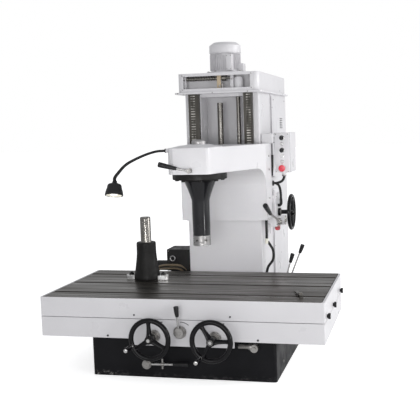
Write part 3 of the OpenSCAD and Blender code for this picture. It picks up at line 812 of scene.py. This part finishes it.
# ---------------- motor and drive
def motor():
    """Finned motor barrel on its flange, with a terminal box and a bracket."""
    shape = Shape()
    paint = MAT["paint"]
    x, y = MOTOR_X, MOTOR_Y
    foot = at(x, y, 0)
    profile = [(17, 1603), (118, 1603), (118, 1613.6), (115.6, 1616), (90, 1616)]
    profile += [(86, 1620), (84, 1626), (84, 1722), (90, 1724), (91.6, 1726)]
    profile += [(91.6, 1733), (90, 1734), (17, 1734)]
    shape.lathe(profile, foot, paint, count=128)
    for i in range(44):
        angle = math.tau * (i + 0.5) / 44
        if abs(math.degrees(angle) - 291) < 14:  # the terminal box sits here
            continue
        place = at(x + 88 * math.cos(angle), y + 88 * math.sin(angle), 1674)
        turn = Matrix.Rotation(angle, 4, "Z")
        shape.block((10.5, 2.3, 96), paint, Matrix.Translation(place) @ turn, 0.7)
    for i in range(8):
        away = toward(X, Y, math.tau * (i + 0.5) / 8) * 105
        shape.bolt(foot + (away + Z * 1616) * MM, Z, STEEL, 7, 6)
    shape.box((78, 862, 1618), (118, 905, 1716), paint, 4, 4)
    shape.box((82, 859, 1624), (114, 863, 1710), paint, 1.6, 3)
    for dx, dz in ((86, 1628), (110, 1628), (86, 1706), (110, 1706)):
        shape.socket(at(dx, 859.2, dz), FRONT, STEEL, 2.4, 1.6)
    shape.rod(at(98, 880, 1606), at(98, 880, 1620), 9, MAT["hose_black"])
    shape.box((130, 940, 1616), (168, 1000, 1664), paint, 3, 3)
    shape.piece("motor_barrel", "frame", "paint", "motor_body")


def cap_details():
    """Pump housing and the oil feed's fibre plate seen through the cap's window."""
    shape = Shape()
    paint = MAT["paint"]
    profile = [(0, 1494), (26, 1494), (27, 1500), (27, 1560), (24, 1574), (16, 1582)]
    shape.lathe([*profile, (0, 1584)], at(166, 812, 0), paint, count=40)
    shape.box((-172, 796, 1494), (-150, 828, 1588), paint, 2, 3)
    shape.box((118, 796, 1494), (138, 828, 1588), paint, 2, 3)
    shape.box((40, 788, 1502), (64, 796, 1592), MAT["fibre"], 2, 3)
    shape.bolt(at(57, 788, 1527), FRONT, STEEL, 6, 5)
    shape.rod(at(72, 792, 1496), at(72, 792, 1540), 6, STEEL)
    for z in (1512, 1566):
        shape.bolt(at(-161, 796, z), FRONT, STEEL, 5, 4)
        shape.bolt(at(128, 796, z), FRONT, STEEL, 5, 4)
    shape.piece("pump_housing", "frame", "paint", "cap_oil_pump")

    shape = Shape()
    for x in (-165, 250):
        for z in (1509, 1591):
            shape.socket(at(x, 766, z), FRONT, STEEL, 3.2, 2.2)
    shape.piece("window_screws", "frame", "grey_steel")


motor()
cap_details()


# ---------------- headstock
def sleeve():
    """Long gloss sleeve that flares into its bolted flange."""
    shape = Shape()
    foot = at(SPINDLE_X, SPINDLE_Y, 0)
    profile = [(41, 753), (41, 712), (45.6, 712), (47, 713.4), (47.4, 786), (48, 896)]
    profile += [(49.4, 905), (52, 914), (58.6, 934), (66, 955), (74, 975), (82, 995)]
    profile += [(88, 1006.5)]
    shape.lathe(profile, foot, MAT["sleeve_black"], count=160)
    cast = MAT["cast_black"]
    profile = [(88, 1006.5), (94, 1012), (102, 1015), (144, 1015), (146, 1017)]
    profile += [(146, 1045.6), (144.6, 1047), (30, 1047)]
    shape.lathe(profile, foot, cast, count=160)
    for i in range(8):
        away = toward(X, Y, math.radians(i * 45 + 16))
        shape.bolt(foot + (away * 122 + Z * 1015) * MM, -Z, cast, 11, 9.4)
    shape.piece("sleeve", "headstock", "sleeve_black", "spindle_sleeve")


def lamp():
    """Ribbed gooseneck and its shade with a reflector and bulb."""
    bends = [(-98, 1172), (-160, 1168), (-235, 1146), (-325, 1104), (-380, 1052)]
    bends += [(LAMP_X, 1030), (LAMP_X, 1012)]
    path = smooth_path([(x, LAMP_Y, z) for x, z in bends], 420)
    shape = Shape()
    ribs = 84

    def girth(t):
        return 6.6 + 2.6 * t * t + 0.5 * math.sin(t * math.tau * ribs)

    shape.tube(path, girth, MAT["hose_black"], 20)
    nut = [(0, 0), (11, 0), (11, 8), (9, 10), (0, 10)]
    shape.lathe(nut, at(-98, LAMP_Y, 1172), GRIP, -X, 32)
    shape.piece("lamp_gooseneck", "headstock", "hose_black", "lamp_neck")

    # the shade, tipped a little towards the operator, with its switch
    shape = Shape()
    foot = at(LAMP_X, LAMP_Y, 1016)
    down = Vector((0.02, -0.30, -1)).normalized()
    profile = [(0, -1), (11, -1), (12, 1), (13.4, 9), (20, 13), (31, 17), (36, 21)]
    profile += [(38.4, 28), (39.6, 36), (41, 42), (45.6, 56), (48, 70), (49, 74)]
    profile += [(49, 78), (48, 80), (44, 80), (43, 79)]
    shape.lathe(profile, foot, GRIP, down, 96)
    reflector = [(43, 79), (40, 70), (34, 58), (24, 48), (12, 44), (0, 43)]
    shape.lathe(reflector, foot, MAT["cream"], down, 96)
    glass = [(9, 44), (9, 52), (17, 60), (20, 68), (16, 76), (8, 79.4), (0, 80)]
    shape.lathe(glass, foot, MAT["bulb"], down, 48)
    shape.rod(at(LAMP_X, 199, 990), at(LAMP_X, 188, 988), 4, GRIP)
    shape.piece("lamp_shade", "headstock", "black_plastic", "lamp_head")


def conduits():
    """Two ribbed conduits at the control box, a short boot and a flat cable."""
    shape = Shape()
    rubber = MAT["hose_black"]
    pitch = 4.2
    upper = [(388, 1010, 986), (387, 1010, 971), (376, 1002, 950), (350, 987, 939.5)]
    upper += [(326, 985, 938)]
    lower = [(340, 985, 938.4), (357, 992, 922), (365, 999, 884), (366, 1000, 836)]
    for points in (upper, lower):
        rough = smooth_path(points, 12)
        ribs = sum((b - a).length for a, b in zip(rough, rough[1:])) / MM / pitch
        path = smooth_path(points, int(ribs * 6))
        shape.tube(path, lambda t: 7.5 + 0.55 * math.sin(t * math.tau * ribs), rubber, 20)
    boot = [(366, 1000, 840), (366, 1000, 812), (357, 1000, 802), (346, 1000, 802)]
    shape.tube(smooth_path(boot, 24), 9.2, GRIP, 20)
    # flat cable down the edge of the bracket, slimmer over its last half
    cable = [(329, 946, 1112), (328, 945, 1070), (327, 945, 1020), (325, 948, 986)]
    path = smooth_path(cable, 30)
    shape.tube(path, lambda t: 8.2 - 12.0 * max(0.0, t - 0.55) ** 1.3, rubber, 16)
    # glands where they enter
    gland = [(0, 0), (15, 0), (15, 5), (11, 8), (0, 8)]
    shape.lathe(gland, at(388, 1010, 986), STEEL, -Z, 6)
    gland = [(0, 0), (16, 0), (16, 6), (12, 9), (0, 9)]
    shape.lathe(gland, at(320, 985, 938), GRIP, X, 32)
    shape.piece("wiring_conduits", "headstock", "hose_black", "conduits")


def hanging_hose():
    """The hose between the headstock's cheek and the bed, and the union on it."""
    points = [(296, 880, 737), (296, 880, 690), (296, 880, 640), (297, 880, 606)]
    points += [(316, 881, 572), (333, 882, 538), (330, 884, 484), (296, 888, 432)]
    points += [(287, 890, 360), (304, 896, 268), (320, 900, 203)]
    path = smooth_path(points, 220)
    shape = Shape()
    shape.tube(path, 8, MAT["hose_black"], 20)
    hose = shape.piece("coolant_hose", "headstock", "hose_black", "hanging_hose")
    hose.parent = None
    del hose["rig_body"]

    shape = Shape()
    coupling = [(8.1, -15), (11.4, -15), (12, -13), (12, 11), (11, 14), (8.1, 15)]
    shape.lathe(coupling, at(296, 880, 598), MAT["cream"], Z, 32)
    union = shape.piece("hose_union", "headstock", "paint")
    union.parent = None
    del union["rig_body"]
    for obj in (hose, union):
        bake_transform(obj)


def control_box():
    """Bezels, lamp caps, hinges, lid seal and screws of the push-button box."""
    shape = Shape()
    for z, r in ((1212, 16), (1138, 16), (1104, 13), (1030, 24)):
        bezel = [(9.2, -2), (r, -2), (r, 0), (r - 1.4, 0.6), (9.2, 0.6)]
        finish = SHINE if r < 20 else MAT["clear_cap"]  # pale under the stop button
        shape.lathe(bezel, at(BOX_X, BOX_FRONT_Y - 0.6, z), finish, FRONT, 40)
    base = [(0, 0), (11, 0), (11, 2), (9, 3), (0, 3)]
    dome = [(0, 3), (8, 3), (8, 8), (6.4, 10.4), (3, 11.6), (0, 12)]
    for z in (1176, 1070):
        place = at(BOX_X, BOX_FRONT_Y, z)
        shape.lathe(base, place, SHINE, FRONT, 32)
        shape.lathe(dome, place, MAT["clear_cap"], FRONT, 32)
    for low, high in ((1183, 1206), (1212, 1237)):
        shape.box((318, 938, low), (333, 952, high), GRIP, 2.5, 3)
        shape.rod(at(338, 946, low), at(338, 946, high), 5.6, GRIP)
    # seal between the lid and the box
    shape.box((341.2, 962, 1001.4), (434.8, 964, 1242.6), MAT["ink"], 0, 1)
    for x, z in ((352, 1010), (424, 1010), (352, 1234), (424, 1234)):
        shape.socket(at(x, BOX_FRONT_Y + 0.4, z), FRONT, STEEL, 3.2, 2.0)
    shape.piece("box_trim", "headstock", "grey_steel")


def headstock_details():
    """Screws, plug, wipers and the oil in the sight glass."""
    shape = Shape()
    # cap screws on the bearing cover
    for i in range(4):
        away = toward(X, Y, math.radians(i * 90 + 30)) * 27
        foot = at(SPINDLE_X, SPINDLE_Y, 1215.6)
        shape.socket(foot + away * MM, Z, STEEL, 3, 2)
    # gib screws down the right cheek
    for z in (780, 860, 1030, 1110):
        shape.bolt(at(325, 850, z), X, STEEL, 5.5, 4.5)
    # screws of the gearbox covers
    for y in (952, 1108):
        for z in (688, 860):
            shape.socket(at(346, y, z), X, STEEL, 4, 3)
    profile = [(0, 0), (30, 0), (30, 3), (27, 5), (12, 5), (11, 9), (0, 9)]
    shape.lathe(profile, at(376, 1085, 700), MAT["turned_steel"], X, 40)
    # wiper strips under the plate
    for x0, x1 in ((-150, -84), (186, 240)):
        shape.box((x0 - 2, 818, 734), (x1 + 2, 827.6, 742), GRIP, 0.6)
    shape.piece("headstock_fittings", "headstock", "grey_steel")

    shape = Shape()
    # red oil behind the sight glass
    shape.rod(at(330, 1060, 641), at(330, 1060, 662), 14.6, MAT["red_plastic"])
    shape.piece("sight_oil", "headstock", "sight_glass")


sleeve()
lamp()
conduits()
hanging_hose()
control_box()
headstock_details()


# ---------------- table and saddle
def table_details():
    """Lugs of the spare spindle, knobs of the end covers and skirt screws."""
    shape = Shape()
    for side in (-1, 1):
        lug = [(side * 70, -26)]
        for i in range(21):
            angle = math.radians(-62 + 124 * i / 20)
            lug.append((side * (96 + 30 * math.cos(angle)), 30 * math.sin(angle)))
        lug.append((side * 70, 26))
        here = Matrix.Translation(at(ARBOR_X, ARBOR_Y, TABLE_TOP_Z))
        shape.prism(lug[::side], 0, 22, MAT["pale_steel"], 2.0, here)
        spot = at(ARBOR_X + side * 96, ARBOR_Y, TABLE_TOP_Z + 22)
        shape.lathe([(0, 0), (18, 0), (18, 2), (17, 2.6), (0, 2.6)], spot, STEEL, Z, 40)
        shape.bolt(spot + Z * 2.4 * MM, Z, GRIP, 14.5, 10)
        shape.lathe([(0, 12), (6.6, 12), (6.6, 17), (5.8, 18), (0, 18)], spot, GRIP, Z, 24)
    shape.piece("arbor_clamp", "table", "bright_steel", "arbor_flange")

    shape = Shape()
    for side in (-1, 1):
        for y, z in ((84, 344), (348, 341), (690, 344)):
            place, out = at(side * 750, y, z), X * side
            profile = [(0, -14), (5, -14), (5, 0), (9, 0), (9, 6), (0, 6)]
            shape.lathe(profile, place, GRIP, out, 32)
            grooved = []
            for i in range(84):
                t = math.tau * i / 84
                r = 13.2 + 2.2 * math.cos(7 * t)  # seven grips round the knob
                grooved.append((r * math.cos(t), r * math.sin(t)))
            turn = Z.rotation_difference(out).to_matrix().to_4x4()
            shape.prism(grooved, 6, 18, GRIP, 1.2, Matrix.Translation(place) @ turn)
            shape.lathe([(0, 18), (5, 18), (4.4, 18.8), (0, 19)], place, STEEL, out, 24)
    shape.piece("end_knobs", "table", "black_plastic", "end_cover_knobs")

    shape = Shape()
    for x, z in ((-230, 344), (277, 347)):
        shape.socket(at(x, 0, z), FRONT, GRIP, 4.5, 3)
    shape.piece("skirt_screws", "table", "black_plastic")


def saddle_details():
    """Apron screws, rules above the wheels, feed quadrant and wipers."""
    shape = Shape()
    for x, z in ((-378, 232), (416, 232)):
        shape.socket(at(x, 0, z), FRONT, GRIP, 5, 3.6)
    for x in (-102, 222):
        shape.box((x - 24, -0.8, 308), (x + 24, 0.4, 313), GRIP, 0.3, 1)
    arc = []
    for i in range(13):
        angle = math.radians(44 + 44 * i / 12)
        arc.append(at(14 + 64 * math.cos(angle), -0.2, 262 + 52 * math.sin(angle)))
    shape.tube(arc, 1.5, GRIP, 10)
    # wipers where the saddle rides on the bed ways
    for x0, x1 in ((-353, -222), (222, 353)):
        shape.box((x0, 758, 222), (x1, 766, 250), GRIP, 1)
    shape.piece("saddle_fittings", "saddle", "grey_steel")


def bed_details():
    """Foundation washers and nuts, the drain plug and the way wipers."""
    shape = Shape()
    for x in (-440, 440):
        for y in (130, 1670):
            place = at(x, y, DECK_Z)
            shape.lathe([(0, 0), (24, 0), (24, 3), (22, 4), (0, 4)], place, STEEL, Z, 40)
            shape.bolt(place + Z * 4 * MM, Z, STEEL, 16, 14)
            shape.rod(place + Z * 16 * MM, place + Z * 34 * MM, 9, STEEL)
    shape.bolt(at(459, 60, 18), FRONT, MAT["bed_black"], 9, 6)
    shape.lathe([(0, 0), (9, 0), (9, 2), (7, 3), (0, 3)], at(495, 254, 54), STEEL, X, 32)
    # wiper plates at the front ends of the ways
    for x0, x1 in ((-345, -230), (230, 345)):
        shape.box((x0, 70, 202), (x1, 75.4, 232), GRIP, 0.8)
    shape.piece("bed_bolts", "frame", "grey_steel")


def column_details():
    """Trim and screws of the column, and the rear motor's fittings and cables."""
    shape = Shape()
    paint = MAT["paint"]
    # seam cover between column and cabinet
    shape.box((283, 1188, 260), (286.4, 1206, 1470), paint, 1)
    for z in (300, 520, 740, 960, 1180, 1400):
        shape.socket(at(286.4, 1197, z), X, STEEL, 3.6, 2)
    for y in (1250, 1650):
        for z in (240, 1450):
            shape.socket(at(284, y, z), X, STEEL, 4, 2.4)
    for x in (-190, 20, 230):
        shape.socket(at(x, 754, 1489), FRONT, STEEL, 3.4, 2)
    shape.piece("column_trim", "frame", "paint")

    shape = Shape()
    # rear motor: end cover, eye bolt, screws and the cables in front of it
    profile = [(0, 0), (30, 0), (32, 2), (32, 8), (26, 12), (0, 12)]
    shape.lathe(profile, at(-452, 1000, 420), MAT["bed_black"], -X, 48)
    eye = at(-312, 906, 480)
    ring = [eye + toward(X, Z, math.tau * i / 40) * 15 * MM for i in range(40)]
    shape.tube(ring, 4, SHINE, 14, closed=True)
    for x in (-344, -192):
        for z in (412, 524):
            shape.bolt(at(x, 922, z), FRONT, STEEL, 5, 4)
    cable = [(-436, 912, 402), (-392, 904, 432), (-330, 898, 440), (-262, 900, 436)]
    cable += [(-226, 906, 404)]
    for lift, reach, finish in ((0, 0, "tan"), (-12, 8, "hose_black"), (-20, -6, "tan")):
        path = smooth_path([(x + reach, y, z + lift) for x, y, z in cable], 48)
        shape.tube(path, 7, MAT[finish], 16)
    shape.piece("feed_motor_fittings", "frame", "bed_black")


table_details()
saddle_details()
bed_details()
column_details()

for width, names in (
    (4.0, ("top_cap",)),
    (3.0, ("headstock_casting", "base_bed", "rear_feed_motor", "feed_gearbox")),
    (2.0, ("column_casting", "electrical_cabinet", "control_box")),
    (1.6, ("saddle_casting", "table_skirt", "cabinet_door", "motor_fan_cover")),
    (0.8, ("way_cover", "loose_key", "arbor_body", "arbor_bar", "coolant_union")),
    (0.6, ("table_top", "rotary_knob_upper", "rotary_knob_lower", "start_button")),
):
    soften(names, width)


# ---------------- room
# name, place, target, width and height in metres, watts, spread in degrees
LIGHTS = (
    ("key", (4.3, -3.3, 1.5), (0.05, -0.2, 0.85), (1.3, 1.3), 22, 180),
    ("strip", (3.45, -2.85, 0.38), (0.05, -0.5, 0.75), (0.55, 0.42), 13, 180),
    ("side", (5.2, 0.5, 2.2), (0.3, 0.4, 0.95), (2.0, 2.0), 128, 180),
    ("fill", (0.4, -5.6, 1.05), (0, 0, 0.8), (4.0, 0.9), 52, 180),
    ("inset", (0.6, -3.4, 1.02), (0.1, -0.13, 0.78), (1.2, 0.3), 0.7, 20),
)
SKY_STRENGTH, FLOOR_GLOW, FLOOR_GLOW_SEEN = 0.60, 0.06, 0.62
FLOOR_DROP = 0.0005  # keeps the floor just under the bed's foot


def add_room():
    """A white floor and sky, brighter to the camera than they light the machine."""
    mesh = bpy.data.meshes.new("floor")
    bm = bmesh.new()
    bmesh.ops.create_grid(bm, x_segments=4, y_segments=4, size=40)
    bm.to_mesh(mesh)
    bm.free()
    floor = bpy.data.objects.new("floor", mesh)
    floor.location.z = -FLOOR_DROP
    SCENE.collection.objects.link(floor)
    pale = Nodes("floor", (0.93, 0.93, 0.93), 0.9, Specular_IOR_Level=0.1)
    pale.set("Emission Color", (1, 1, 1, 1))
    seen = pale.node("ShaderNodeLightPath").outputs["Is Camera Ray"]
    glow = pale.ramp(seen, 0, 1, FLOOR_GLOW, FLOOR_GLOW_SEEN)
    pale.wire(glow, pale.shader.inputs["Emission Strength"])
    cloud = pale.ramp(pale.noise(0.6, 2), 0.3, 0.7)
    pale.color(pale.mix(cloud, (0.93,) * 3, (0.945,) * 3))
    mesh.materials.append(MAT["floor"])

    world = bpy.data.worlds.new("studio")
    SCENE.world = world
    world.use_nodes = True
    tree = world.node_tree
    soft = tree.nodes["Background"]
    soft.inputs["Color"].default_value = (0.97, 0.98, 1, 1)
    soft.inputs["Strength"].default_value = SKY_STRENGTH
    white = tree.nodes.new("ShaderNodeBackground")
    white.inputs["Color"].default_value = (1, 1, 1, 1)
    mix = tree.nodes.new("ShaderNodeMixShader")
    path = tree.nodes.new("ShaderNodeLightPath")
    tree.links.new(path.outputs["Is Camera Ray"], mix.inputs[0])
    tree.links.new(soft.outputs[0], mix.inputs[1])
    tree.links.new(white.outputs[0], mix.inputs[2])
    tree.links.new(mix.outputs[0], tree.nodes["World Output"].inputs["Surface"])

    for name, where, aim, size, power, spread in LIGHTS:
        data = bpy.data.lights.new(name, "AREA")
        data.shape = "RECTANGLE"
        data.size, data.size_y = size
        data.energy = power
        data.spread = math.radians(spread)
        light = bpy.data.objects.new(name, data)
        light.location = where
        light.rotation_mode = "QUATERNION"
        away = Vector(aim) - Vector(where)
        light.rotation_quaternion = away.to_track_quat("-Z", "Y")
        SCENE.collection.objects.link(light)
    SCENE.view_settings.view_transform = "Standard"


add_room()
